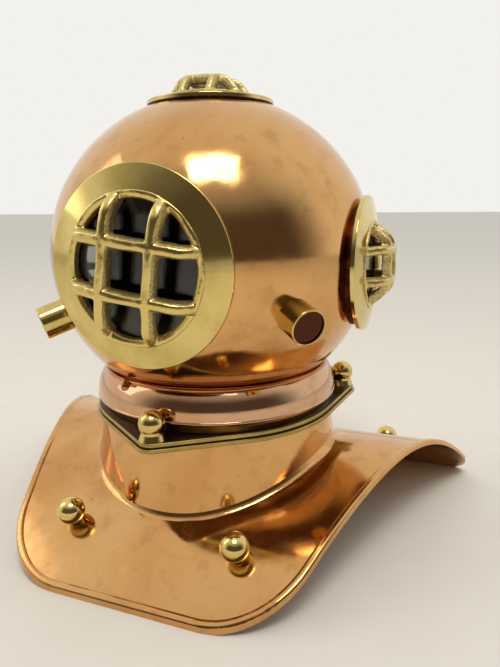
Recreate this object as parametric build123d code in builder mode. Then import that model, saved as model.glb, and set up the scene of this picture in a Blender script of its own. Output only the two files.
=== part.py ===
from build123d import *
from math import cos, hypot, radians, sin, sqrt
import os

# Sheet, solder and fits
sheet = 1.2
solder_gap = 0.02
running_gap = 0.05
loose_gap = 0.3
rivet_gap = 0.1
edge_break = 0.35
overrun = 5.0

# Bonnet: a spun copper ball, a little flatter than a sphere, on a short skirt
bonnet_radius = 64.0
bonnet_half_height = 61.0
bonnet_centre_height = 109.0
skirt_radius = 44.8
skirt_depth = 10.0

# Collar: two brass plates that bolt together at three corners
collar_radius = 50.0
collar_bore = 44.0
collar_corner_radius = 5.0
stud_circle_radius = 55.5
stud_count = 3
plate_thickness = 1.5
plate_overhang = 0.8
gasket_thickness = 0.4
gasket_inset = 0.5
collar_height = 46.4

# Studs and ball nuts
stud_radius = 1.5
stud_head_radius = 2.4
stud_head_height = 1.4
stud_reach = 6.2
nut_base_radius = 4.8
nut_base_top_radius = 4.0
nut_base_height = 2.2
nut_ball_radius = 4.7
nut_ball_height = 5.6
nut_bore_depth = 7.0

# Neck ring: the bulging copper band between the bonnet and the collar
ring_top_wall = 1.2
ring_height = 15.0
ring_belly_radius = 49.7
ring_belly_height = 4.6
ring_foot_radius = 47.8
ring_bead_radius = 0.6

# Breastplate: one copper sheet bent over the shoulders, with a drawn neck
crest_height = 33.6
front_reach = 81.3
rear_reach = 66.8
front_half_width = 50.0
rear_half_width = 106.0
front_corner_radius = 34.0
rear_corner_radius = 8.0
front_bend_power = 1.75
rear_bend_power = 2.05
rim_width = 3.0
rim_rise = 0.6
rim_drop = 0.3
rim_break = 1.1
rim_inset = 0.5
edge_height = 1.0
neck_top_radius = 48.0
neck_flare = 0.16
neck_crease_radius = 3.0
profile_steps = 7

# Ball knobs on the breastplate
knob_ball_radius = 5.0
knob_stem_radius = 3.0
knob_stem_height = 1.4
knob_shank_radius = 1.5
knob_head_radius = 2.6
knob_head_height = 0.8
front_right_knob = (33.3, -59.7)
front_left_knob = (-32.1, -59.2)
rear_right_knob = (64.5, 57.6)
rear_left_knob = (-64.5, 57.6)

# Air connectors: closed brass cylinders soldered through the bonnet
connector_radius = 6.2
connector_wall = 0.9
connector_reach = 73.0
connector_root = 59.0
connector_end_recess = 0.4
right_connector_azimuth = 49.0
right_connector_drop = 14.5
left_connector_azimuth = -44.5
left_connector_drop = 18.2

# Windows: a copper seat, a brass flange, a glass pane and a cast grille each
seat_ledge = 2.4
seat_depth = 2.5
flange_edge = 1.4
pane_thickness = 1.5
pane_gap = 0.1
grille_ring_wall = 2.2
grille_ring_sink = 0.5
knuckle_bend = 2.0
crown_bend = 4.0
bar_side_angle = 8.0
side_window_drop = 2.5

front_window = {
    "flange_radius": 33.2,
    "seat_radius": 31.2,
    "hole_radius": 29.2,
    "opening_radius": 24.5,
    "flange_distance": 57.2,
    "flange_rise": 3.0,
    "grille_height": 6.8,
    "bar_offset": 8.5,
    "knuckle_offset": 18.6,
    "knuckle_drop": 1.4,
    "bar_width": 4.0,
    "bar_face": 3.0,
    "bar_depth": 3.2,
    "grille_turn": -7.7,
}
small_window = {
    "flange_radius": 25.0,
    "seat_radius": 23.0,
    "hole_radius": 21.0,
    "opening_radius": 16.0,
    "flange_distance": 61.4,
    "flange_rise": 2.0,
    "grille_height": 7.8,
    "bar_offset": 5.5,
    "knuckle_offset": 9.2,
    "knuckle_drop": 0.3,
    "bar_width": 3.2,
    "bar_face": 2.4,
    "bar_depth": 3.0,
    "grille_turn": 0.0,
}
top_window = dict(small_window, flange_distance=57.0, flange_radius=24.6, seat_radius=24.2, hole_radius=23.4)

# Heights that follow
lower_plate_top = collar_height + plate_thickness
gasket_top = lower_plate_top + gasket_thickness
collar_top = gasket_top + plate_thickness
crest_middle = crest_height - sheet / 2
bend_drop = crest_middle - edge_height

bonnet_centre = (0, 0, bonnet_centre_height)
side_centre = (0, 0, bonnet_centre_height - side_window_drop)
windows = {
    "front": (front_window, Plane(bonnet_centre, x_dir=(1, 0, 0), z_dir=(0, -1, 0))),
    "right": (small_window, Plane(side_centre, x_dir=(0, 1, 0), z_dir=(1, 0, 0))),
    "left": (small_window, Plane(side_centre, x_dir=(0, -1, 0), z_dir=(-1, 0, 0))),
    "top": (top_window, Plane(bonnet_centre, x_dir=(1, 0, 0), z_dir=(0, 0, 1))),
}
connectors = {
    "air_inlet": (right_connector_azimuth, right_connector_drop),
    "air_exhaust": (left_connector_azimuth, left_connector_drop),
}
stud_names = ["front", "rear_right", "rear_left"]
knobs = {
    "front_right": front_right_knob,
    "front_left": front_left_knob,
    "rear_right": rear_right_knob,
    "rear_left": rear_left_knob,
}


# Names one finished piece and writes it
def export(piece, node):
    piece.part.label = node
    export_step(piece.part, f"parts/{node}.step")


# Azimuth runs from the front (-Y) towards the right (+X)
def direction(azimuth, drop=0.0):
    level = cos(radians(drop))
    return Vector(sin(radians(azimuth)) * level, -cos(radians(azimuth)) * level, -sin(radians(drop)))


# The bend's reach and power in front of the neck and behind it
def bend_form(y):
    if y < 0:
        return front_reach - rim_inset, front_bend_power
    return rear_reach - rim_inset, rear_bend_power


# Height of the middle of the breastplate's sheet over one place in Y
def bend_height(y):
    reach, power = bend_form(y)
    return crest_middle - bend_drop * (abs(y) / reach) ** power


def bend_slope(y):
    reach, power = bend_form(y)
    steepness = bend_drop * power / reach * (abs(y) / reach) ** (power - 1)
    return steepness if y < 0 else -steepness


# A point of the YZ profile, moved square to the sheet from its middle
def bend_point(y, off):
    length = hypot(1, bend_slope(y))
    return (y - off * bend_slope(y) / length, bend_height(y) + off / length)


def bend_points(off, extra):
    front = [-(front_reach + extra) * step / profile_steps for step in range(profile_steps, 0, -1)]
    rear = [(rear_reach + extra) * step / profile_steps for step in range(profile_steps + 1)]
    return [bend_point(y, off) for y in front + rear]


# The bent sheet from side to side between two offsets from its middle, run on by extra at both ends
def bent_slab(low, high, extra):
    side = rear_half_width + overrun
    with BuildPart() as slab:
        with BuildSketch(Plane.YZ.offset(-side)):
            with BuildLine():
                upper = Spline(*bend_points(high, extra))
                lower = Spline(*bend_points(low, extra))
                Line(upper @ 0, lower @ 0)
                Line(upper @ 1, lower @ 1)
            make_face()
        extrude(amount=2 * side)
    return slab.part


def ellipse_height(radius, half_width, half_height):
    return half_height * sqrt(1 - (radius / half_width) ** 2)


# The ball as a solid, larger all round by grow
def ball(grow):
    with BuildPart() as solid:
        with BuildSketch(Plane.XZ):
            with BuildLine():
                EllipticalCenterArc(
                    (0, bonnet_centre_height),
                    bonnet_radius + grow,
                    bonnet_half_height + grow,
                    start_angle=-90,
                    arc_size=180,
                )
                Line((0, bonnet_centre_height - bonnet_half_height - grow),
                     (0, bonnet_centre_height + bonnet_half_height + grow))
            make_face()
        revolve(axis=Axis.Z)
    return solid.part


# The rounded triangle of the collar, with room taken off or added all round
def collar_outline(grow):
    with BuildSketch() as outline:
        Circle(collar_radius + grow)
        for number in range(stud_count):
            with Locations(direction(number * 360 / stud_count) * stud_circle_radius):
                Circle(collar_corner_radius + grow)
        make_hull()
    return outline.sketch


def stud_places():
    return [direction(number * 360 / stud_count) * stud_circle_radius for number in range(stud_count)]


# One plate or gasket of the collar from one height up
def collar_layer(bottom, thickness, grow, hole_radius, edge):
    with BuildPart() as layer:
        with BuildSketch(Plane.XY.offset(bottom)):
            add(collar_outline(grow))
            Circle(collar_bore, mode=Mode.SUBTRACT)
            with Locations(*stud_places()):
                Circle(hole_radius, mode=Mode.SUBTRACT)
        extrude(amount=thickness)
        if edge:
            outer_edges = layer.faces().sort_by(Axis.Z)[-1].outer_wire().edges()
            outer_edges += layer.faces().sort_by(Axis.Z)[0].outer_wire().edges()
            fillet(outer_edges, edge)
    return layer


# The trapezoid of the breastplate seen from above
def plan_outline(grow):
    with BuildSketch() as outline:
        with BuildLine():
            Polyline(
                (-front_half_width, -front_reach),
                (front_half_width, -front_reach),
                (rear_half_width, rear_reach),
                (-rear_half_width, rear_reach),
                close=True,
            )
        make_face()
        fillet(outline.vertices().group_by(Axis.Y)[0], front_corner_radius)
        fillet(outline.vertices().group_by(Axis.Y)[-1], rear_corner_radius)
        if grow:
            offset(amount=grow)
    return outline.sketch


def neck_radius(height):
    return neck_top_radius + neck_flare * (collar_height - height)


# The cone of the drawn neck, filled, from the table to under the collar
def neck_cone(inset, top):
    with BuildPart() as cone:
        with BuildSketch(Plane.XZ):
            with BuildLine():
                Polyline(
                    (0, 0),
                    (neck_radius(0) - inset, 0),
                    (neck_radius(top) - inset, top),
                    (0, top),
                    close=True,
                )
            make_face()
        revolve(axis=Axis.Z)
    return cone.part


# The space under the middle of the bent sheet
def under_sheet():
    side = rear_half_width + overrun
    with BuildPart() as space:
        with BuildSketch(Plane.YZ.offset(-side)):
            with BuildLine():
                upper = Spline(*bend_points(0, 0))
                base = -front_reach
                Polyline(upper @ 0, ((upper @ 0).X, base), ((upper @ 1).X, base), upper @ 1)
            make_face()
        extrude(amount=2 * side)
    return space.part


# The raised rim all round the breastplate
def rim_band():
    with BuildPart() as band:
        add(bent_slab(-sheet / 2 - rim_drop, sheet / 2 + rim_rise, rim_width))
        with BuildSketch() as ring:
            add(plan_outline(0))
            add(plan_outline(-rim_width), mode=Mode.SUBTRACT)
        extrude(ring.sketch, amount=crest_height + overrun, mode=Mode.INTERSECT)
        top_faces = [face for face in band.faces() if face.normal_at().Z > 0.5]
        long_edges = [edge for face in top_faces for edge in face.edges() if edge.length > rim_width]
        fillet(long_edges, rim_break)
    return band.part


def knob_plane(x, y):
    base = bend_point(y, sheet / 2)
    return Plane((x, base[0], base[1]), x_dir=(1, 0, 0), z_dir=(0, -bend_slope(y), 1))


# A turned piece: a closed outline of (radius, height) points round one plane's axis
def turned(plane, points):
    section = Plane(plane.origin, x_dir=plane.x_dir, z_dir=-plane.y_dir)
    with BuildPart() as piece:
        with BuildSketch(section):
            with BuildLine():
                Polyline(*points, close=True)
            make_face()
        revolve(axis=Axis(plane.origin, plane.z_dir))
    return piece.part


def circle_edges(part, radius, height, plane):
    found = []
    for edge in part.edges().filter_by(GeomType.CIRCLE):
        middle = plane.to_local_coords(edge.arc_center)
        if abs(edge.radius - radius) < solder_gap and abs(middle.Z - height) < solder_gap:
            found.append(edge)
    return found


# Copper boss under the flange: a neck through the ball's hole, a shoulder cut to the ball's curve
def window_seat(window, plane):
    outer = window["seat_radius"]
    neck = window["hole_radius"] - solder_gap
    inner = window["opening_radius"] - seat_ledge
    top = window["flange_distance"]
    low = ellipse_height(outer, bonnet_radius, bonnet_half_height) - overrun
    with BuildPart() as seat:
        add(turned(plane, [(inner, low), (outer, low), (outer, top), (inner, top)]))
        add(ball(solder_gap), mode=Mode.SUBTRACT)
        foot = top - seat_depth
        add(turned(plane, [(inner, foot), (neck, foot), (neck, top), (inner, top)]))
    return seat


# Flat underneath, and coned on top up to the opening
def window_flange(window, plane):
    outer = window["flange_radius"]
    opening = window["opening_radius"]
    low = window["flange_distance"]
    rim_top = low + flange_edge
    cone_top = rim_top + window["flange_rise"]
    with BuildPart() as flange:
        add(turned(plane, [(opening, low), (outer, low), (outer, rim_top), (opening, cone_top)]))
        fillet(circle_edges(flange.part, outer, rim_top, plane), edge_break)
        fillet(circle_edges(flange.part, opening, cone_top, plane), edge_break)
    return flange


def window_pane(window, plane):
    low = window["flange_distance"]
    radius = window["opening_radius"] - pane_gap
    with BuildPart() as pane:
        with BuildSketch(plane.offset(low)):
            Circle(radius)
        extrude(amount=pane_thickness)
    return pane


def turned_plane(plane, angle):
    x_dir = plane.x_dir.rotate(Axis(plane.origin, plane.z_dir), angle)
    return Plane(plane.origin, x_dir=x_dir, z_dir=plane.z_dir)


# Two cast bars along the plane's X, each from foot to foot over its two knuckles
def grille_bars(window, plane, foot_height):
    depth = window["bar_depth"]
    crown = window["flange_distance"] + flange_edge + window["flange_rise"] + window["grille_height"]
    middle = crown - depth / 2
    knuckle = window["knuckle_offset"] - depth / 2
    knuckle_height = middle - window["knuckle_drop"]
    crossing = window["bar_offset"]
    foot = sqrt((window["opening_radius"] - grille_ring_wall / 2) ** 2 - crossing**2)
    side = crossing + window["bar_width"]
    section = Plane(plane.origin + plane.y_dir * side, x_dir=plane.x_dir, z_dir=-plane.y_dir)
    with BuildPart() as bars:
        with BuildSketch(section):
            with BuildLine() as path:
                FilletPolyline(
                    (-foot, foot_height),
                    (-knuckle, knuckle_height),
                    (-crossing, middle),
                    (crossing, middle),
                    (knuckle, knuckle_height),
                    (foot, foot_height),
                    radius=[knuckle_bend, crown_bend, crown_bend, knuckle_bend],
                )
                offset(amount=depth / 2, side=Side.BOTH)
            make_face()
        extrude(amount=2 * side)
        with BuildSketch(plane.offset(crown)):
            for place in (-crossing, crossing):
                with Locations((0, place)):
                    Rectangle(2 * window["opening_radius"], window["bar_face"])
        extrude(amount=-window["grille_height"] - overrun, taper=-bar_side_angle, mode=Mode.INTERSECT)
    return bars.part


# Casting: a ring in the flange's bore with two bars each way across it
def window_grille(window, plane):
    base = window["flange_distance"] + pane_thickness
    ring_top = window["flange_distance"] + flange_edge + window["flange_rise"] - grille_ring_sink
    outer = window["opening_radius"] - solder_gap
    inner = window["opening_radius"] - grille_ring_wall
    reach = ring_top + window["grille_height"] + overrun
    foot_height = (base + ring_top) / 2
    first_way = turned_plane(plane, window["grille_turn"])
    second_way = turned_plane(first_way, 90)
    with BuildPart() as grille:
        add(grille_bars(window, first_way, foot_height))
        add(grille_bars(window, second_way, foot_height))
        add(turned(plane, [(0, base), (outer, base), (outer, reach), (0, reach)]), mode=Mode.INTERSECT)
        add(turned(plane, [(inner, base), (outer, base), (outer, ring_top), (inner, ring_top)]))
    return grille


# Brass cylinder through the bonnet's wall, open inwards and closed at its end
def connector(azimuth, drop):
    plane = Plane(bonnet_centre, z_dir=direction(azimuth, drop))
    bore = connector_radius - connector_wall
    end = connector_reach - connector_end_recess
    with BuildPart() as piece:
        add(turned(plane, [
            (bore, connector_root),
            (connector_radius, connector_root),
            (connector_radius, connector_reach),
            (bore, connector_reach),
            (bore, end),
            (0, end),
            (0, end - connector_wall),
            (bore, end - connector_wall),
        ]))
        fillet(circle_edges(piece.part, connector_radius, connector_reach, plane), edge_break)
    return piece


# Ball nut: flared base, ball and a blind bore for the stud
def ball_nut(place):
    plane = Plane((place.X, place.Y, collar_top))
    bore = stud_radius + running_gap
    ball_foot = nut_ball_height - sqrt(nut_ball_radius**2 - nut_base_top_radius**2)
    crown = nut_ball_height + nut_ball_radius
    section = Plane(plane.origin, x_dir=plane.x_dir, z_dir=-plane.y_dir)
    with BuildPart() as nut:
        with BuildSketch(section):
            with BuildLine():
                Polyline((bore, 0), (nut_base_radius, 0), (nut_base_top_radius, nut_base_height),
                         (nut_base_top_radius, ball_foot))
                waist = (nut_base_top_radius, ball_foot)
                ThreePointArc(waist, (nut_ball_radius, nut_ball_height), (0, crown))
                Polyline((0, crown), (0, nut_bore_depth), (bore, nut_bore_depth), (bore, 0))
            make_face()
        revolve(axis=Axis(plane.origin, plane.z_dir))
    return nut


# Stud: head under the lower plate, shank up through the collar
def stud(place):
    plane = Plane((place.X, place.Y, 0))
    head_top = collar_height - solder_gap
    head_foot = head_top - stud_head_height
    tip = collar_top + stud_reach
    with BuildPart() as piece:
        add(turned(plane, [
            (0, head_foot),
            (stud_head_radius, head_foot),
            (stud_head_radius, head_top),
            (stud_radius, head_top),
            (stud_radius, tip),
            (0, tip),
        ]))
        chamfer(circle_edges(piece.part, stud_radius, tip, plane), edge_break)
        fillet(circle_edges(piece.part, stud_head_radius, head_foot, plane), edge_break)
    return piece


# Ball knob: ball, stem and a shank through the sheet, peened beneath it
def ball_knob(x, y):
    plane = knob_plane(x, y)
    foot = rivet_gap
    under = -sheet - rivet_gap
    centre = knob_stem_height + sqrt(knob_ball_radius**2 - knob_stem_radius**2)
    top = centre + knob_ball_radius
    section = Plane(plane.origin, x_dir=plane.x_dir, z_dir=-plane.y_dir)
    with BuildPart() as knob:
        with BuildSketch(section):
            with BuildLine():
                Polyline(
                    (0, under - knob_head_height),
                    (knob_head_radius, under - knob_head_height),
                    (knob_head_radius, under),
                    (knob_shank_radius, under),
                    (knob_shank_radius, foot),
                    (knob_stem_radius, foot),
                    (knob_stem_radius, knob_stem_height),
                )
                ThreePointArc((knob_stem_radius, knob_stem_height), (knob_ball_radius, centre), (0, top))
                Line((0, top), (0, under - knob_head_height))
            make_face()
        revolve(axis=Axis(plane.origin, plane.z_dir))
    return knob


os.makedirs("parts", exist_ok=True)

with BuildPart() as breastplate:
    add(bent_slab(-sheet / 2, sheet / 2, 0))
    with BuildSketch() as inside_rim:
        add(plan_outline(-rim_width / 2))
    extrude(inside_rim.sketch, amount=crest_height + overrun, mode=Mode.INTERSECT)
    add(rim_band())
    add(neck_cone(0, collar_height) - under_sheet())
    crease = []
    for edge in breastplate.edges():
        middle = edge @ 0.5
        near_neck = abs(hypot(middle.X, middle.Y) - neck_radius(middle.Z)) < solder_gap
        if near_neck and sheet < middle.Z < collar_height - sheet:
            crease.append(edge)
    fillet(crease, neck_crease_radius)
    add(neck_cone(sheet, collar_height + overrun), mode=Mode.SUBTRACT)
    for x, y in knobs.values():
        with Locations(knob_plane(x, y)):
            Hole(knob_shank_radius + solder_gap, depth=sheet + overrun)
export(breastplate, "breastplate")

# Window pieces, all carried by the bonnet
for name, (window, plane) in windows.items():
    export(window_seat(window, plane), f"{name}_window_seat")
    export(window_flange(window, plane), f"{name}_window_flange")
    export(window_pane(window, plane), f"{name}_window_pane")
    export(window_grille(window, plane), f"{name}_window_grille")

for name, (azimuth, drop) in connectors.items():
    export(connector(azimuth, drop), name)

# Bonnet shell with its skirt, holed for the windows and the connectors
with BuildPart() as bonnet:
    add(ball(0))
    skirt_top = bonnet_centre_height - ellipse_height(skirt_radius, bonnet_radius, bonnet_half_height)
    skirt_foot = skirt_top - skirt_depth
    floor = bonnet_centre_height - bonnet_half_height - overrun
    corner = bonnet_radius + overrun
    up = Plane(bonnet_centre).offset(-bonnet_centre_height)
    add(turned(up, [(skirt_radius, floor), (corner, floor), (corner, skirt_top), (skirt_radius, skirt_top)]),
        mode=Mode.SUBTRACT)
    inner_top = skirt_top + sheet
    add(turned(up, [(0, skirt_foot), (skirt_radius, skirt_foot), (skirt_radius, inner_top), (0, inner_top)]))
    add(turned(up, [(0, floor), (corner, floor), (corner, skirt_foot), (0, skirt_foot)]), mode=Mode.SUBTRACT)
    add(ball(-sheet), mode=Mode.SUBTRACT)
    bore = skirt_radius - sheet
    add(turned(up, [(0, floor), (bore, floor), (bore, inner_top), (0, inner_top)]), mode=Mode.SUBTRACT)
    for window, plane in windows.values():
        hole = window["hole_radius"]
        add(turned(plane, [(0, 0), (hole, 0), (hole, corner), (0, corner)]), mode=Mode.SUBTRACT)
    for azimuth, drop in connectors.values():
        hole = connector_radius + solder_gap
        plane = Plane(bonnet_centre, z_dir=direction(azimuth, drop))
        add(turned(plane, [(0, 0), (hole, 0), (hole, corner), (0, corner)]), mode=Mode.SUBTRACT)
export(bonnet, "bonnet_shell")

# Neck ring
with BuildPart() as neck_ring:
    bore = skirt_radius + solder_gap
    top = collar_top + ring_height
    belly = collar_top + ring_belly_height
    with BuildSketch(Plane.XZ):
        with BuildLine():
            Line((bore, collar_top), (bore, top))
            Line((bore, top), (bore + ring_top_wall, top))
            ThreePointArc(
                (bore + ring_top_wall, top),
                (ring_belly_radius - ring_top_wall, (2 * top + belly) / 3),
                (ring_belly_radius, belly),
            )
            bead_foot = belly - 2 * ring_bead_radius
            ThreePointArc(
                (ring_belly_radius, belly),
                (ring_belly_radius + ring_bead_radius / 2, belly - ring_bead_radius),
                (ring_belly_radius - ring_bead_radius, bead_foot),
            )
            Line((ring_belly_radius - ring_bead_radius, bead_foot), (ring_foot_radius, collar_top))
            Line((ring_foot_radius, collar_top), (bore, collar_top))
        make_face()
    revolve(axis=Axis.Z)
export(neck_ring, "neck_ring")

export(collar_layer(gasket_top, plate_thickness, 0, stud_radius + loose_gap, edge_break),
       "upper_collar_plate")
export(collar_layer(lower_plate_top, gasket_thickness, -gasket_inset, stud_radius + loose_gap, 0),
       "collar_gasket")
export(collar_layer(collar_height, plate_thickness, plate_overhang, stud_radius + solder_gap, edge_break),
       "lower_collar_plate")

for name, place in zip(stud_names, stud_places()):
    export(stud(place), f"stud_{name}")
    export(ball_nut(place), f"{name}_nut")

for name, (x, y) in knobs.items():
    export(ball_knob(x, y), f"knob_{name}")
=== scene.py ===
from math import cos, pi, radians, sin, sqrt

import bmesh
import bpy
from mathutils import Matrix, Vector, noise


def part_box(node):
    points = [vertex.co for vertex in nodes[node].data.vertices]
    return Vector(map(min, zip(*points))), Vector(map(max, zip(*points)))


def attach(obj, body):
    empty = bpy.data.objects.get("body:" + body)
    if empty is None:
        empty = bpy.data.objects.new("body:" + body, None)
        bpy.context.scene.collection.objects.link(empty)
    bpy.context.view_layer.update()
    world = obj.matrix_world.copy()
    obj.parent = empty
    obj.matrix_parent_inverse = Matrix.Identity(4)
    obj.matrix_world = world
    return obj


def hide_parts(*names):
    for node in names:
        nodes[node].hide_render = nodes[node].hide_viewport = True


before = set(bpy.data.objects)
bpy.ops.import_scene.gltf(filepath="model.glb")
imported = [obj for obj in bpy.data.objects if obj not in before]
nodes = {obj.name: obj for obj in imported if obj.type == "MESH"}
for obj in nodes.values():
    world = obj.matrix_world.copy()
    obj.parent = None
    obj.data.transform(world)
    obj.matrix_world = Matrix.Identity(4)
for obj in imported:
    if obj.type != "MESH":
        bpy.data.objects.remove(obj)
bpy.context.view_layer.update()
mm = 0.001

ball = {"radius": 64 * mm, "halfHeight": 61 * mm, "centre": Vector((0, 0, 109 * mm))}


# sRGB hex to the linear colour that a socket takes
def linear(hexColour):
    channels = [int(hexColour[i:i + 2], 16) / 255 for i in (1, 3, 5)]
    return [c / 12.92 if c <= 0.04045 else ((c + 0.055) / 1.055) ** 2.4 for c in channels] + [1.0]


# A node with its settings and links; a key is a socket's name or number, or a property
def addNode(tree, kind, settings=None, links=None):
    node = tree.nodes.new("ShaderNode" + kind)
    for key, value in (settings or {}).items():
        if isinstance(key, int) or key in node.inputs:
            node.inputs[key].default_value = value
        else:
            setattr(node, key, value)
    for key, source in (links or {}).items():
        tree.links.new(source, node.inputs[key])
    return node


def newMaterial(name):
    material = bpy.data.materials.new(name)
    material.use_nodes = True
    tree = material.node_tree
    tree.nodes.clear()
    output = tree.nodes.new("ShaderNodeOutputMaterial")
    shader = tree.nodes.new("ShaderNodeBsdfPrincipled")
    tree.links.new(shader.outputs[0], output.inputs[0])
    return material, tree, shader


def finishMetal(tree, shader, colour, rough, bump):
    shader.inputs["Metallic"].default_value = 1.0
    tree.links.new(colour, shader.inputs["Base Color"])
    tree.links.new(rough.outputs[0], shader.inputs["Roughness"])
    tree.links.new(bump.outputs[0], shader.inputs["Normal"])


def paint(material, *names):
    for name in names:
        piece = nodes[name]
        piece.data.materials.clear()
        piece.data.materials.append(material)


copper = {
    "tan": "#D9AA6E",
    "orange": "#C2864A",
    "brown": "#8F5C30",
    "speck": "#4A2A16",
    # painted shade: the colour painted on the ball's inner face for the shade inside it
    "insideShade": "#1C120C",
    "stainSize": 34,      # mm, broad tarnish clouds
    "smudgeSize": 9,      # mm, finger marks
    "tideSize": 26,       # mm, loops left by drying drops
    "speckSpacing": 8,    # mm
    "hairline": 0.35,     # mm, drawn coarser than real polishing lines so that they show
    "roughness": (0.07, 0.20),
}


# Spun copper sheet, buffed and handled: warm clouds of tarnish, softer finger marks, fine hairlines
def spunCopper(name, tan=None, warm=0.5, shadeInsideRadius=None):
    material, tree, shader = newMaterial(name)
    place = addNode(tree, "TexCoord").outputs["Object"]
    clouds = addNode(tree, "TexNoise", {"Scale": 1000 / copper["stainSize"], "Detail": 3.0, "Roughness": 0.55,
                                        "Distortion": 0.6}, {"Vector": place})
    smudges = addNode(tree, "TexNoise", {"Scale": 1000 / copper["smudgeSize"], "Detail": 4.0, "Roughness": 0.6},
                      {"Vector": place})
    tide = addNode(tree, "TexNoise", {"Scale": 1000 / copper["tideSize"], "Detail": 1.5, "Distortion": 0.4},
                   {"Vector": place})
    specks = addNode(tree, "TexVoronoi", {"Scale": 1000 / copper["speckSpacing"]}, {"Vector": place})
    drawn = addNode(tree, "Mapping", {"Scale": (0.06, 1.0, 1.0)}, {"Vector": place})
    lines = addNode(tree, "TexNoise", {"Scale": 1000 / copper["hairline"], "Detail": 1.0},
                    {"Vector": drawn.outputs[0]})
    warmShare = addNode(tree, "MapRange", {"From Min": 0.38, "From Max": 0.66, "To Max": warm},
                        {"Value": clouds.outputs["Fac"]})
    metal = {"data_type": "RGBA", 6: linear(tan or copper["tan"]), 7: linear(copper["orange"])}
    base = addNode(tree, "Mix", metal, {0: warmShare.outputs[0]})
    smudgeShare = addNode(tree, "MapRange", {"From Min": 0.54, "From Max": 0.74, "To Max": 0.30},
                          {"Value": smudges.outputs["Fac"]})
    stained = addNode(tree, "Mix", {"data_type": "RGBA", 7: linear(copper["brown"])},
                      {0: smudgeShare.outputs[0], 6: base.outputs[2]})
    # a thin brown line where the tide noise crosses its middle, only where the clouds are warm
    offMiddle = addNode(tree, "Math", {"operation": "SUBTRACT", 1: 0.56}, {0: tide.outputs["Fac"]})
    nearMiddle = addNode(tree, "Math", {"operation": "ABSOLUTE"}, {0: offMiddle.outputs[0]})
    loop = addNode(tree, "MapRange", {"From Max": 0.012, "To Min": 0.3, "To Max": 0.0},
                   {"Value": nearMiddle.outputs[0]})
    loopHere = addNode(tree, "Math", {"operation": "MULTIPLY"}, {0: loop.outputs[0], 1: warmShare.outputs[0]})
    marked = addNode(tree, "Mix", {"data_type": "RGBA", 7: linear(copper["brown"])},
                     {0: loopHere.outputs[0], 6: stained.outputs[2]})
    speckShare = addNode(tree, "MapRange", {"From Min": 0.03, "From Max": 0.055, "To Min": 0.55, "To Max": 0.0},
                         {"Value": specks.outputs["Distance"]})
    colour = addNode(tree, "Mix", {"data_type": "RGBA", 7: linear(copper["speck"])},
                     {0: speckShare.outputs[0], 6: marked.outputs[2]})
    finish = colour.outputs[2]
    if shadeInsideRadius:  # painted shade: the ball's inner face is painted nearly black to stand for the shade inside it
        away = addNode(tree, "VectorMath", {"operation": "SUBTRACT", 1: ball["centre"]}, {0: place})
        stretch = (1.0, 1.0, ball["radius"] / ball["halfHeight"])
        evened = addNode(tree, "VectorMath", {"operation": "MULTIPLY", 1: stretch}, {0: away.outputs[0]})
        far = addNode(tree, "VectorMath", {"operation": "LENGTH"}, {0: evened.outputs[0]})
        inner = addNode(tree, "Math", {"operation": "LESS_THAN", 1: shadeInsideRadius}, {0: far.outputs["Value"]})
        paintedShadeInside = addNode(tree, "Mix", {"data_type": "RGBA", 7: linear(copper["insideShade"])},
                        {0: inner.outputs[0], 6: finish})
        finish = paintedShadeInside.outputs[2]
    low, high = copper["roughness"]
    rough = addNode(tree, "MapRange", {"From Min": 0.35, "From Max": 0.75, "To Min": low, "To Max": high},
                    {"Value": smudges.outputs["Fac"]})
    bump = addNode(tree, "Bump", {"Strength": 0.04, "Distance": 0.02 * mm}, {"Height": lines.outputs["Fac"]})
    dents = addNode(tree, "Bump", {"Strength": 0.16, "Distance": 0.5 * mm},
                    {"Height": clouds.outputs["Fac"], "Normal": bump.outputs[0]})
    finishMetal(tree, shader, finish, rough, dents)
    return material


brass = {
    "bright": "#DFC97F",
    "deep": "#B0923F",
    # painted dark reflection: the colour of each connector's flat end disc
    "darkEndReflection": "#4E2B1E",
    "cloudSize": 16,     # mm
    "turnPitch": 0.4,    # mm, lathe rings, drawn coarser than real so that they show
    "roughness": (0.06, 0.17),
}


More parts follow.
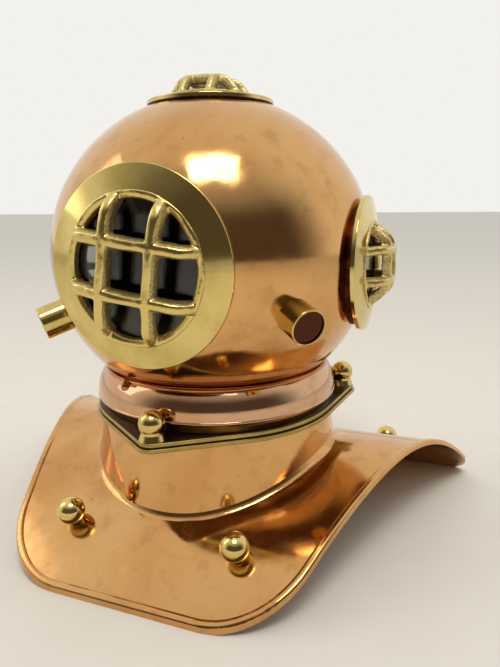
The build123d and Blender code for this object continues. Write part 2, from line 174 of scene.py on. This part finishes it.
# Turned yellow brass, polished then let to dull: faint lathe rings round the axis, olive clouds
def turnedBrass(name, centre, axis, rings=0.4, tarnish=0.55, paintedEndReflection=None):
    material, tree, shader = newMaterial(name)
    place = addNode(tree, "TexCoord").outputs["Object"]
    away = addNode(tree, "VectorMath", {"operation": "SUBTRACT", 1: centre}, {0: place})
    along = addNode(tree, "VectorMath", {"operation": "DOT_PRODUCT", 1: axis}, {0: away.outputs[0]})
    onAxis = addNode(tree, "VectorMath", {"operation": "SCALE", 0: axis}, {"Scale": along.outputs["Value"]})
    off = addNode(tree, "VectorMath", {"operation": "SUBTRACT"}, {0: away.outputs[0], 1: onAxis.outputs[0]})
    radius = addNode(tree, "VectorMath", {"operation": "LENGTH"}, {0: off.outputs[0]})
    ringPlace = addNode(tree, "CombineXYZ", {}, {"X": radius.outputs["Value"], "Y": along.outputs["Value"]})
    turning = addNode(tree, "TexNoise", {"Scale": 1000 / brass["turnPitch"], "Detail": 2.0},
                      {"Vector": ringPlace.outputs[0]})
    clouds = addNode(tree, "TexNoise", {"Scale": 1000 / brass["cloudSize"], "Detail": 4.0, "Roughness": 0.6},
                     {"Vector": place})
    share = addNode(tree, "MapRange", {"From Min": 0.42, "From Max": 0.72, "To Max": tarnish},
                    {"Value": clouds.outputs["Fac"]})
    ringTint = addNode(tree, "MapRange", {"From Min": 0.35, "From Max": 0.7, "To Max": 0.2 * rings},
                       {"Value": turning.outputs["Fac"]})
    both = addNode(tree, "Math", {"operation": "ADD", "use_clamp": True},
                   {0: share.outputs[0], 1: ringTint.outputs[0]})
    colour = addNode(tree, "Mix", {"data_type": "RGBA", 6: linear(brass["bright"]), 7: linear(brass["deep"])},
                     {0: both.outputs[0]})
    finish = colour.outputs[2]
    if paintedEndReflection:  # painted dark reflection on the end disc, inside its bright rim
        height, reach = paintedEndReflection
        past = addNode(tree, "Math", {"operation": "GREATER_THAN", 1: height}, {0: along.outputs["Value"]})
        within = addNode(tree, "Math", {"operation": "LESS_THAN", 1: reach}, {0: radius.outputs["Value"]})
        paintedEndDisc = addNode(tree, "Math", {"operation": "MULTIPLY"}, {0: past.outputs[0], 1: within.outputs[0]})
        paintedDarkEnd = addNode(tree, "Mix", {"data_type": "RGBA", 7: linear(brass["darkEndReflection"])},
                          {0: paintedEndDisc.outputs[0], 6: finish})
        finish = paintedDarkEnd.outputs[2]
    low, high = brass["roughness"]
    rough = addNode(tree, "MapRange", {"From Min": 0.3, "From Max": 0.75, "To Min": low, "To Max": high},
                    {"Value": clouds.outputs["Fac"]})
    bump = addNode(tree, "Bump", {"Strength": 0.06 * rings, "Distance": 0.02 * mm},
                   {"Height": turning.outputs["Fac"]})
    finishMetal(tree, shader, finish, rough, bump)
    return material


cast = {
    "polished": "#DCC578",
    "raw": "#DFCE98",
    "pit": "#AB965C",
    "grain": 0.7,        # mm, sand grain of the mould
    "wanderScale": 260,  # per metre, how often the filed edge strays
    "wander": 0.22,
    "grainDepth": 0.22,  # mm
}


# Sand-cast brass, filed bright only on the faces that look outwards; the sides keep the sand's grain
def castBrass(name, axis):
    material, tree, shader = newMaterial(name)
    place = addNode(tree, "TexCoord").outputs["Object"]
    normal = addNode(tree, "NewGeometry").outputs["Normal"]
    facing = addNode(tree, "VectorMath", {"operation": "DOT_PRODUCT", 1: axis}, {0: normal})
    wander = addNode(tree, "TexNoise", {"Scale": cast["wanderScale"], "Detail": 2.0}, {"Vector": place})
    uneven = addNode(tree, "MapRange", {"To Min": -cast["wander"], "To Max": cast["wander"]},
                     {"Value": wander.outputs["Fac"]})
    facingUneven = addNode(tree, "Math", {"operation": "ADD"}, {0: facing.outputs["Value"], 1: uneven.outputs[0]})
    filed = addNode(tree, "MapRange", {"From Min": 0.50, "From Max": 0.72}, {"Value": facingUneven.outputs[0]})
    grain = addNode(tree, "TexVoronoi", {"Scale": 1000 / cast["grain"]}, {"Vector": place})
    sand = addNode(tree, "TexNoise", {"Scale": 1000 / cast["grain"], "Detail": 3.0, "Roughness": 0.7},
                   {"Vector": place})
    bare = addNode(tree, "MapRange", {"From Min": 0.38, "From Max": 0.62}, {"Value": sand.outputs["Fac"]})
    pitted = addNode(tree, "Mix", {"data_type": "RGBA", 6: linear(cast["pit"]), 7: linear(cast["raw"])},
                     {0: bare.outputs[0]})
    colour = addNode(tree, "Mix", {"data_type": "RGBA", 7: linear(cast["polished"])},
                     {0: filed.outputs[0], 6: pitted.outputs[2]})
    rough = addNode(tree, "MapRange", {"To Min": 0.44, "To Max": 0.20}, {"Value": filed.outputs[0]})
    depth = addNode(tree, "MapRange", {"To Min": 1.0, "To Max": 0.10}, {"Value": filed.outputs[0]})
    relief = addNode(tree, "Math", {"operation": "MULTIPLY"}, {0: grain.outputs["Distance"], 1: depth.outputs[0]})
    bump = addNode(tree, "Bump", {"Strength": 0.4, "Distance": cast["grainDepth"] * mm},
                   {"Height": relief.outputs[0]})
    finishMetal(tree, shader, colour.outputs[2], rough, bump)
    return material


plate = {
    "bright": "#C9B168",
    "dull": "#857238",
    # painted dark reflection and shade on the upper plate's top face
    "black": "#1A140D",
    "cloudScale": 110,     # per metre, clouds about 9 mm across
    "scratchScale": 900,   # per metre, marks about 1 mm across
    "roughness": (0.20, 0.42),
}


# Rolled brass plate, lacquer worn off: bright rounded edges; faces that look upward are painted nearly black as
# painted dark reflection and shade of the ring above
def rolledBrass(name, paintedReflectionTop):
    material, tree, shader = newMaterial(name)
    place = addNode(tree, "TexCoord").outputs["Object"]
    up = addNode(tree, "SeparateXYZ", {}, {0: addNode(tree, "NewGeometry").outputs["Normal"]})
    clouds = addNode(tree, "TexNoise", {"Scale": plate["cloudScale"], "Detail": 4.0}, {"Vector": place})
    base = addNode(tree, "Mix", {"data_type": "RGBA", 6: linear(plate["bright"]), 7: linear(plate["dull"])},
                   {0: clouds.outputs["Fac"]})
    # painted dark reflection and shade: upward-facing faces are mixed towards black
    top = addNode(tree, "MapRange", {"From Min": 0.86, "From Max": 0.97, "To Max": paintedReflectionTop},
                  {"Value": up.outputs["Z"]})
    colour = addNode(tree, "Mix", {"data_type": "RGBA", 7: linear(plate["black"])},
                     {0: top.outputs[0], 6: base.outputs[2]})
    low, high = plate["roughness"]
    rough = addNode(tree, "MapRange", {"To Min": low, "To Max": high}, {"Value": clouds.outputs["Fac"]})
    scratches = addNode(tree, "TexNoise", {"Scale": plate["scratchScale"], "Detail": 2.0}, {"Vector": place})
    bump = addNode(tree, "Bump", {"Strength": 0.12, "Distance": 0.05 * mm}, {"Height": scratches.outputs["Fac"]})
    finishMetal(tree, shader, colour.outputs[2], rough, bump)
    return material


boss = {
    "oxide": "#3A1D12",
    "bare": "#7A4428",
    "cloudScale": 180,   # per metre, clouds about 5.5 mm across
    "roughness": (0.35, 0.6),
}


# Copper boss as it came from the torch: liver-brown oxide with a little metal showing through
def oxidisedCopper(name):
    material, tree, shader = newMaterial(name)
    place = addNode(tree, "TexCoord").outputs["Object"]
    clouds = addNode(tree, "TexNoise", {"Scale": boss["cloudScale"], "Detail": 5.0, "Roughness": 0.65},
                     {"Vector": place})
    worn = addNode(tree, "MapRange", {"From Min": 0.45, "From Max": 0.7}, {"Value": clouds.outputs["Fac"]})
    colour = addNode(tree, "Mix", {"data_type": "RGBA", 6: linear(boss["oxide"]), 7: linear(boss["bare"])},
                     {0: worn.outputs[0]})
    low, high = boss["roughness"]
    rough = addNode(tree, "MapRange", {"To Min": low, "To Max": high}, {"Value": clouds.outputs["Fac"]})
    bump = addNode(tree, "Bump", {"Strength": 0.2, "Distance": 0.1 * mm}, {"Height": clouds.outputs["Fac"]})
    finishMetal(tree, shader, colour.outputs[2], rough, bump)
    return material


leather = {"black": "#120D09", "worn": "#2A1D13", "pebbleScale": 1400, "roughness": 0.6}   # 0.7 mm pebbles


# Oiled leather washer: nearly black, matt, with a fine pebbled grain
def oiledLeather(name):
    material, tree, shader = newMaterial(name)
    place = addNode(tree, "TexCoord").outputs["Object"]
    pebbles = addNode(tree, "TexVoronoi", {"Scale": leather["pebbleScale"]}, {"Vector": place})
    colour = addNode(tree, "Mix", {"data_type": "RGBA", 6: linear(leather["black"]), 7: linear(leather["worn"])},
                     {0: pebbles.outputs["Distance"]})
    bump = addNode(tree, "Bump", {"Strength": 0.4, "Distance": 0.1 * mm},
                   {"Height": pebbles.outputs["Distance"]})
    shader.inputs["Roughness"].default_value = leather["roughness"]
    tree.links.new(colour.outputs[2], shader.inputs["Base Color"])
    tree.links.new(bump.outputs[0], shader.inputs["Normal"])
    return material


pane = {"clear": "#DDE2DE", "dusty": "#C6CCC8", "dustScale": 420, "roughness": (0.02, 0.12), "ior": 1.5}


# Cut sheet glass: clear, slightly grey, with faint dust
def sheetGlass(name):
    material, tree, shader = newMaterial(name)
    place = addNode(tree, "TexCoord").outputs["Object"]
    dust = addNode(tree, "TexNoise", {"Scale": pane["dustScale"], "Detail": 4.0}, {"Vector": place})
    low, high = pane["roughness"]
    rough = addNode(tree, "MapRange", {"From Min": 0.45, "From Max": 0.75, "To Min": low, "To Max": high},
                    {"Value": dust.outputs["Fac"]})
    tint = addNode(tree, "Mix", {"data_type": "RGBA", 6: linear(pane["clear"]), 7: linear(pane["dusty"])},
                   {0: dust.outputs["Fac"]})
    shader.inputs["Transmission Weight"].default_value = 1.0
    shader.inputs["IOR"].default_value = pane["ior"]
    tree.links.new(tint.outputs[2], shader.inputs["Base Color"])
    tree.links.new(rough.outputs[0], shader.inputs["Roughness"])
    return material


# Lengths in mm; heights along a window's axis are from the ball's centre
frontWindow = {"opening": 24.5, "seatTop": 57.2, "lip": 61.6, "crown": 68.4, "crossing": 8.5, "knuckle": 18.4,
               "knuckleDrop": 1.4, "turn": -7.7, "face": 3.3, "back": 4.9, "depth": 4.2, "voxel": 0.28}
smallWindow = {"opening": 16.0, "seatTop": 61.4, "lip": 64.8, "crown": 72.6, "crossing": 5.5, "knuckle": 9.0,
               "knuckleDrop": 0.6, "turn": 0.0, "face": 2.6, "back": 3.8, "depth": 3.4, "voxel": 0.30}
topWindow = dict(smallWindow, seatTop=57.0, lip=60.4, crown=67.9)
sideCentre = ball["centre"] - Vector((0, 0, 2.5 * mm))
windows = {
    "front": (frontWindow, ball["centre"], Vector((1, 0, 0)), Vector((0, -1, 0))),
    "right": (smallWindow, sideCentre, Vector((0, 1, 0)), Vector((1, 0, 0))),
    "left": (smallWindow, sideCentre, Vector((0, -1, 0)), Vector((-1, 0, 0))),
    "top": (topWindow, ball["centre"], Vector((1, 0, 0)), Vector((0, 0, 1))),
}


# Corners of a bent bar, each cut round with a number of steps
def roundedPath(corners, radius, steps=6):
    path = [Vector(corners[0])]
    for before, corner, after in zip(corners, corners[1:], corners[2:]):
        corner = Vector(corner)
        into = Vector(before) - corner
        out = Vector(after) - corner
        reach = min(radius, 0.45 * into.length, 0.45 * out.length)
        start = corner + into.normalized() * reach
        end = corner + out.normalized() * reach
        for step in range(steps + 1):
            t = step / steps
            path.append(start * (1 - t) ** 2 + corner * 2 * t * (1 - t) + end * t ** 2)
    path.append(Vector(corners[-1]))
    return path


barSection = ((-0.5, -1.0), (-0.52, 0.2), (-0.40, 0.9), (0.0, 1.0), (0.40, 0.9), (0.52, 0.2), (0.5, -1.0))


# One bar: a rounded wedge section, narrow side outwards, swept along a path in the bar's own plane
def sweepBar(mesh, path, toWorld, side, face, back, depth):
    rows = []
    for i, point in enumerate(path):
        ahead = (path[min(i + 1, len(path) - 1)] - path[max(i - 1, 0)]).normalized()
        outward = Vector((-ahead.y, ahead.x))
        row = []
        for across, lift in barSection:
            width = back + (face - back) * (lift + 1) / 2
            spot = point + outward * (lift * depth / 2)
            row.append(mesh.verts.new(toWorld(spot.x, side + across * width, spot.y)))
        rows.append(row)
    for a, b in zip(rows, rows[1:]):
        for k in range(len(a)):
            n = (k + 1) % len(a)
            mesh.faces.new((a[k], a[n], b[n], b[k]))
    mesh.faces.new(rows[0][::-1])
    mesh.faces.new(rows[-1])


# The casting's ring lines the opening and laps a little over the flange; wall and pane in mm
castLip = {"wall": 2.3, "pane": 1.6}


def sweepLip(mesh, toWorld, window, steps=120):
    opening, lip = window["opening"], window["lip"]
    inner, low = opening - castLip["wall"], window["seatTop"] + castLip["pane"]
    section = ((inner, low), (opening - 0.05, low), (opening - 0.05, lip - 0.4), (opening + 0.7, lip - 0.5),
               (opening + 0.6, lip + 0.25), (opening - 0.6, lip + 0.45), (inner + 0.3, lip), (inner, lip - 0.9))
    rows = []
    for step in range(steps):
        angle = 2 * pi * step / steps
        rows.append([mesh.verts.new(toWorld(r * cos(angle), r * sin(angle), h)) for r, h in section])
    for i in range(steps):
        a, b = rows[i], rows[(i + 1) % steps]
        for k in range(len(a)):
            n = (k + 1) % len(a)
            mesh.faces.new((a[k], b[k], b[n], a[n]))


# Moves every vertex a little by two sizes of noise, as a hand-made mould would
def roughen(mesh, amounts):
    for vertex in mesh.vertices:
        shift = Vector()
        for size, amount in amounts:
            shift += noise.noise_vector(vertex.co / (size * mm)) * amount * mm
        vertex.co += shift


# bend in mm; lumps are pairs of size and shift in mm
casting = {"bend": 3.2, "smoothing": 14, "lumps": ((7.0, 0.38), (1.6, 0.05))}


# The casting, its bars melted together by a voxel remesh and then smoothed
def castGrille(name, window, centre, across, axis, material):
    turn = radians(window["turn"])
    second = axis.cross(across)
    wide = across * cos(turn) + second * sin(turn)
    tall = axis.cross(wide)
    mesh = bmesh.new()
    middle = window["crown"] - window["depth"] / 2 - 0.1
    foot = sqrt((window["opening"] - 1.1) ** 2 - window["crossing"] ** 2)
    footHeight = window["lip"] - 1.2
    knuckle = min(window["knuckle"], foot - 0.6)
    corners = [(-foot, footHeight), (-knuckle, middle - window["knuckleDrop"]), (-window["crossing"], middle),
               (window["crossing"], middle), (knuckle, middle - window["knuckleDrop"]), (foot, footHeight)]
    for first, other in ((wide, tall), (tall, -wide)):
        def toWorld(x, y, h, first=first, other=other):
            return centre + (first * x + other * y + axis * h) * mm
        for side in (-1, 1):
            sweepBar(mesh, roundedPath(corners, casting["bend"]), toWorld, side * window["crossing"],
                     window["face"], window["back"], window["depth"])
    sweepLip(mesh, lambda x, y, h: centre + (wide * x + tall * y + axis * h) * mm, window)
    bmesh.ops.recalc_face_normals(mesh, faces=mesh.faces)
    data = bpy.data.meshes.new(name + "Rough")
    mesh.to_mesh(data)
    mesh.free()
    rough = bpy.data.objects.new(name + "Rough", data)
    bpy.context.scene.collection.objects.link(rough)
    remesh = rough.modifiers.new("melt", "REMESH")
    remesh.mode = "VOXEL"
    remesh.voxel_size = window["voxel"] * mm
    soften = rough.modifiers.new("soften", "SMOOTH")
    soften.factor = 0.5
    soften.iterations = casting["smoothing"]
    done = bpy.data.meshes.new_from_object(rough.evaluated_get(bpy.context.evaluated_depsgraph_get()))
    bpy.data.objects.remove(rough)
    roughen(done, casting["lumps"])
    piece = bpy.data.objects.new(name, done)
    bpy.context.scene.collection.objects.link(piece)
    for polygon in done.polygons:
        polygon.use_smooth = True
    done.materials.clear()
    done.materials.append(material)
    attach(piece, "bonnet")
    return piece


print("windows")
glass = sheetGlass("cutSheetGlass")
oxidised = oxidisedCopper("oxidisedCopperBoss")
for side, (window, centre, across, axis) in windows.items():
    paint(turnedBrass(side + "FlangeTurnedBrass", centre, axis), side + "_window_flange")
    paint(oxidised, side + "_window_seat")
    paint(glass, side + "_window_pane")
    bars = castBrass(side + "GrilleCastBrass", axis)
    paint(bars, side + "_window_grille")
    grille = castGrille(side + "CastGrille", window, centre, across, axis, bars)
    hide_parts(side + "_window_grille")

print("copper")
# the ball's inner face gets painted shade
paint(spunCopper("bonnetSpunCopper", shadeInsideRadius=ball["radius"] - 0.6 * mm), "bonnet_shell")
paint(spunCopper("neckSpunCopper", "#D2A986", 0.35), "neck_ring")
paint(spunCopper("plateBeatenCopper"), "breastplate")

# Soft solder run round the joint under the ball, with the one drop that ran down in front
# Lengths in mm; the drop's azimuth in degrees and its size
solder = {"radius": 45.9, "height": 65.1, "thickness": 0.75, "uneven": 0.5, "steps": 240, "sides": 10,
          "drop": (-22.0, 1.9)}


def solderSeam(material):
    mesh = bmesh.new()
    rows = []
    steps, sides = solder["steps"], solder["sides"]
    for step in range(steps):
        angle = 2 * pi * step / steps
        bulge = solder["thickness"] * (1 + solder["uneven"] * noise.noise((3 * cos(angle), 3 * sin(angle), 0.7)))
        row = []
        for k in range(sides):
            turn = 2 * pi * k / sides
            away = solder["radius"] + bulge * cos(turn)
            spot = Vector((away * cos(angle), away * sin(angle), solder["height"] + bulge * sin(turn)))
            row.append(mesh.verts.new(spot * mm))
        rows.append(row)
    for i in range(steps):
        a, b = rows[i], rows[(i + 1) % steps]
        for k in range(sides):
            n = (k + 1) % sides
            mesh.faces.new((a[k], b[k], b[n], a[n]))
    azimuth, size = solder["drop"]
    where = Vector((sin(radians(azimuth)), -cos(radians(azimuth)), 0)) * (solder["radius"] + 0.9)
    where += Vector((0, 0, solder["height"] - 1.2))
    drop = bmesh.ops.create_icosphere(mesh, subdivisions=4, radius=size * mm)
    for vertex in drop["verts"]:
        fall = 1.0 + 0.35 * vertex.co.z / (size * mm)   # narrower above, so that it hangs
        vertex.co = Vector((vertex.co.x / fall, vertex.co.y / fall, vertex.co.z * 1.25)) + where * mm
        vertex.co += noise.noise_vector(vertex.co * 600) * 0.12 * mm
    bmesh.ops.recalc_face_normals(mesh, faces=mesh.faces)
    data = bpy.data.meshes.new("solderSeam")
    mesh.to_mesh(data)
    mesh.free()
    for polygon in data.polygons:
        polygon.use_smooth = True
    data.materials.append(material)
    piece = bpy.data.objects.new("solderSeam", data)
    bpy.context.scene.collection.objects.link(piece)
    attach(piece, "bonnet")


solderSeam(spunCopper("seamSolderedCopper", "#B9783F", 0.8))

print("collar, nuts and knobs")
# the upper plate's top face gets painted dark reflection and shade
paint(rolledBrass("upperCollarBrass", 0.93), "upper_collar_plate")
paint(rolledBrass("lowerCollarBrass", 0.0), "lower_collar_plate")
paint(oiledLeather("gasketOiledLeather"), "collar_gasket")
upright = Vector((0, 0, 1))
for place in ("front", "rear_right", "rear_left"):
    low, high = (Vector(corner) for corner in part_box(place + "_nut"))
    turned = turnedBrass(place + "NutTurnedBrass", (low + high) / 2, upright, 0.6, 0.4)
    paint(turned, place + "_nut", "stud_" + place)
for place in ("front_right", "front_left", "rear_right", "rear_left"):
    low, high = (Vector(corner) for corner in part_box("knob_" + place))
    turned = turnedBrass(place + "KnobTurnedBrass", (low + high) / 2, upright, 0.3, 0.3)
    paint(turned, "knob_" + place)


# Outward unit vector: azimuth from the front towards the right, elevation up, both in degrees
def direction(azimuth, elevation):
    level = cos(radians(elevation))
    return Vector((sin(radians(azimuth)) * level, -cos(radians(azimuth)) * level, sin(radians(elevation))))


# Azimuth and elevation of each closed cylinder; the painted dark reflection on its end disc starts at height and
# stops short of its rim, in mm
connectors = {"air_inlet": (49.0, -14.5), "air_exhaust": (-44.5, -18.2)}
paintedEndDisc = {"height": 72.2, "radius": 5.75}
for name, (azimuth, elevation) in connectors.items():
    paintedEndReflection = (paintedEndDisc["height"] * mm, paintedEndDisc["radius"] * mm)
    outward = direction(azimuth, elevation)
    paint(turnedBrass(name + "TurnedBrass", ball["centre"], outward, 0.8, 0.4, paintedEndReflection), name)

studio = {
    "floor": "#DEDBD5",
    "floorFibre": "#D8D5CE",
    "wall": "#F3F1EC",
    "room": "#433529",
    "roomWay": (0.42, -0.91, 0.0),   # the dim side, in front of the helmet
    "skyForLight": 1.15,
    "reach": 6,   # m, from the middle to each side of the floor
}

print("studio")
floorMesh = bpy.data.meshes.new("floor")
reach = studio["reach"]
corners = [(-reach, -reach, 0), (reach, -reach, 0), (reach, reach, 0), (-reach, reach, 0)]
floorMesh.from_pydata(corners, [], [(0, 1, 2, 3)])
floor = bpy.data.objects.new("floor", floorMesh)
bpy.context.scene.collection.objects.link(floor)
material, tree, shader = newMaterial("paperFloor")
place = addNode(tree, "TexCoord").outputs["Object"]
fibre = addNode(tree, "TexNoise", {"Scale": 60.0, "Detail": 3.0}, {"Vector": place})
paper = addNode(tree, "Mix", {"data_type": "RGBA", 6: linear(studio["floor"]), 7: linear(studio["floorFibre"])},
                {0: fibre.outputs["Fac"]})
tree.links.new(paper.outputs[2], shader.inputs["Base Color"])
shader.inputs["Roughness"].default_value = 0.8
shader.inputs["Specular IOR Level"].default_value = 0.1
floorMesh.materials.append(material)

world = bpy.data.worlds.new("studioWorld")
bpy.context.scene.world = world
world.use_nodes = True
tree = world.node_tree
tree.nodes.clear()
seen = addNode(tree, "LightPath")
gloss = addNode(tree, "Math", {"operation": "MAXIMUM"},
                {0: seen.outputs["Is Camera Ray"], 1: seen.outputs["Is Glossy Ray"]})
clear = addNode(tree, "Math", {"operation": "MAXIMUM"},
                {0: gloss.outputs[0], 1: seen.outputs["Is Transmission Ray"]})
strength = addNode(tree, "MapRange", {"To Min": studio["skyForLight"], "To Max": 1.0},
                   {"Value": clear.outputs[0]})
# Pale all round for the camera; for every other ray it eases to a dim room on the camera's side
way = addNode(tree, "TexCoord").outputs["Generated"]
toRoom = addNode(tree, "VectorMath", {"operation": "DOT_PRODUCT", 1: studio["roomWay"]}, {0: way})
height = addNode(tree, "SeparateXYZ", {}, {0: way})
roomShare = addNode(tree, "MapRange", {"interpolation_type": "SMOOTHSTEP", "From Min": -0.05, "From Max": 0.62,
                                       "To Max": 0.95}, {"Value": toRoom.outputs["Value"]})
underSky = addNode(tree, "MapRange", {"interpolation_type": "SMOOTHSTEP", "From Min": 0.45, "From Max": 0.85,
                                      "To Min": 1.0, "To Max": 0.45}, {"Value": height.outputs["Z"]})
dimAll = addNode(tree, "Math", {"operation": "MULTIPLY"}, {0: roomShare.outputs[0], 1: underSky.outputs[0]})
unseen = addNode(tree, "Math", {"operation": "SUBTRACT", 0: 1.0}, {1: seen.outputs["Is Camera Ray"]})
dim = addNode(tree, "Math", {"operation": "MULTIPLY"}, {0: dimAll.outputs[0], 1: unseen.outputs[0]})
around = addNode(tree, "Mix", {"data_type": "RGBA", 6: linear(studio["wall"]), 7: linear(studio["room"])},
                 {0: dim.outputs[0]})
background = addNode(tree, "Background", {}, {"Color": around.outputs[2], "Strength": strength.outputs[0]})
tree.links.new(background.outputs[0], tree.nodes.new("ShaderNodeOutputWorld").inputs[0])


# A soft box aimed at the ball; size and distance in m, radiance is what metal sees in it
def softBox(name, azimuth, elevation, distance, size, radiance, colour="#FFFFFF"):
    data = bpy.data.lights.new(name, "AREA")
    data.shape = "RECTANGLE"
    data.size, data.size_y = size
    data.energy = radiance * pi * size[0] * size[1]
    data.color = linear(colour)[:3]
    lamp = bpy.data.objects.new(name, data)
    away = direction(azimuth, elevation)
    lamp.location = ball["centre"] + away * distance
    lamp.rotation_euler = away.to_track_quat("Z", "Y").to_euler()
    bpy.context.scene.collection.objects.link(lamp)


softBox("windowBox", 26, 65, 1.0, (0.46, 0.34), 9.0, "#FFF6E8")
softBox("sideBox", -75, 30, 1.3, (0.5, 0.8), 1.2)

# The photograph's viewpoint, found from the window and collar circles
lens = {"location": (0.1008, -0.2185, 0.1298), "yaw": 21.385, "down": 12.84, "roll": -0.756,
        "focalPixels": 580, "pixelsAcross": 500, "sensor": 36}
cameraData = bpy.data.cameras.new("camera")
cameraData.sensor_fit = "HORIZONTAL"
cameraData.sensor_width = lens["sensor"]
cameraData.lens = lens["sensor"] * lens["focalPixels"] / lens["pixelsAcross"]
cameraData.clip_start = 0.01
camera = bpy.data.objects.new("camera", cameraData)
turned = Matrix.Rotation(radians(lens["yaw"]), 4, "Z")
tilted = Matrix.Rotation(radians(90 - lens["down"]), 4, "X")
rolled = Matrix.Rotation(radians(lens["roll"]), 4, "Z")
camera.matrix_world = Matrix.Translation(lens["location"]) @ turned @ tilted @ rolled
bpy.context.scene.collection.objects.link(camera)
bpy.context.scene.camera = camera
bpy.context.scene.view_settings.view_transform = "Standard"
